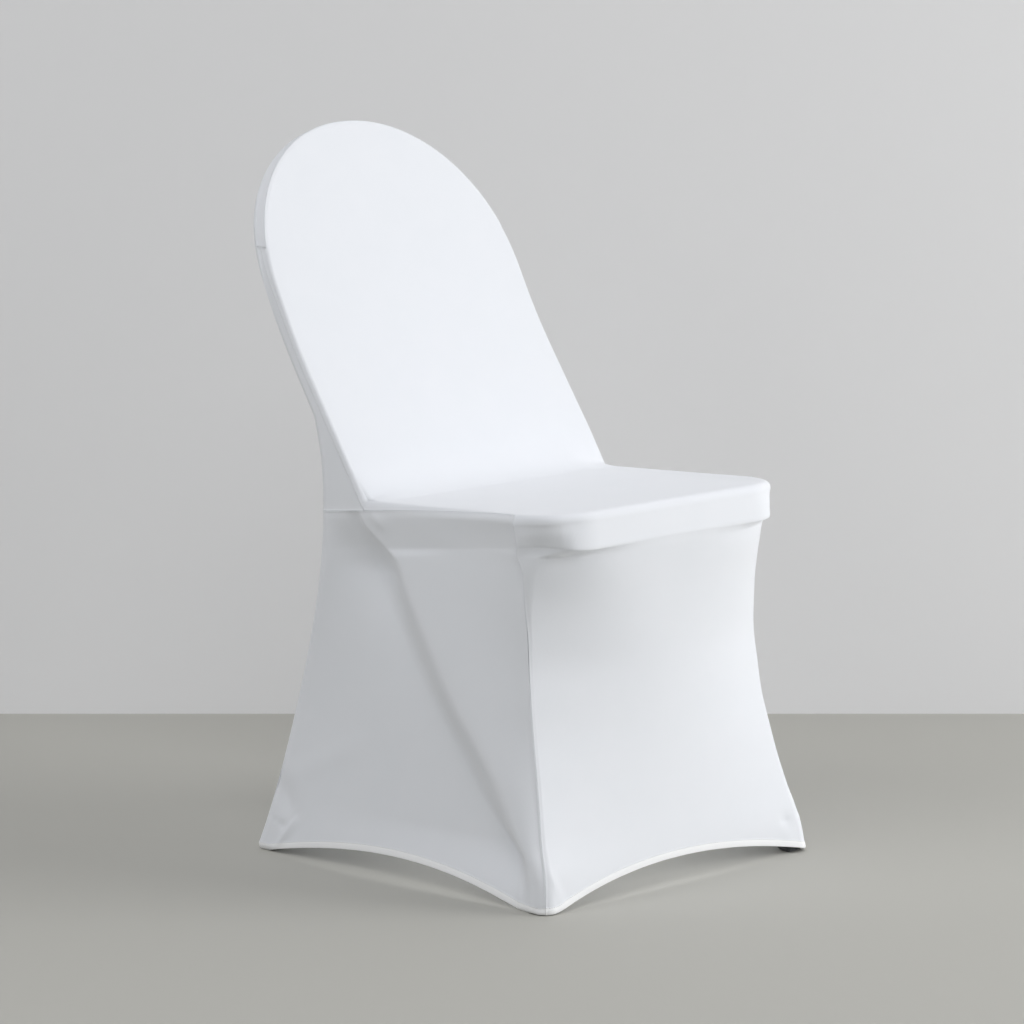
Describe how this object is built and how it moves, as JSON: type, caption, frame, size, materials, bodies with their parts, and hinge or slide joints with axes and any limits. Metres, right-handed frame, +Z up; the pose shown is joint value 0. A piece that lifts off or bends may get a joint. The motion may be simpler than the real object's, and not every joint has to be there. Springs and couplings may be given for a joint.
{
  "type": "stretch cover for a folding chair",
  "caption": "Fitted stretch cover for a folding chair with a round-topped back, with a seat, a skirt to the floor, an arched hem and pockets for the feet.",
  "frame": {"origin": "on the floor, under the middle of the cover's bounding box", "axes": "+Z up, +Y towards the chair's back, the seat facing -Y, +X to the left of someone who sits on it"},
  "size_m": [0.459, 0.5776, 0.8573],
  "materials": {
    "stretch_cloth": "matte",
    "pocket_cloth": "matte"
  },
  "bodies": {
    "root": {"front_panel": "stretch_cloth", "back_panel": "stretch_cloth", "top_strip": "stretch_cloth", "side_upper_left": "stretch_cloth", "side_upper_right": "stretch_cloth", "side_lower_left": "stretch_cloth", "side_lower_right": "stretch_cloth", "foot_pocket_front_left": "pocket_cloth", "foot_pocket_front_right": "pocket_cloth", "foot_pocket_rear_left": "pocket_cloth", "foot_pocket_rear_right": "pocket_cloth"}
  },
  "joints": []
}
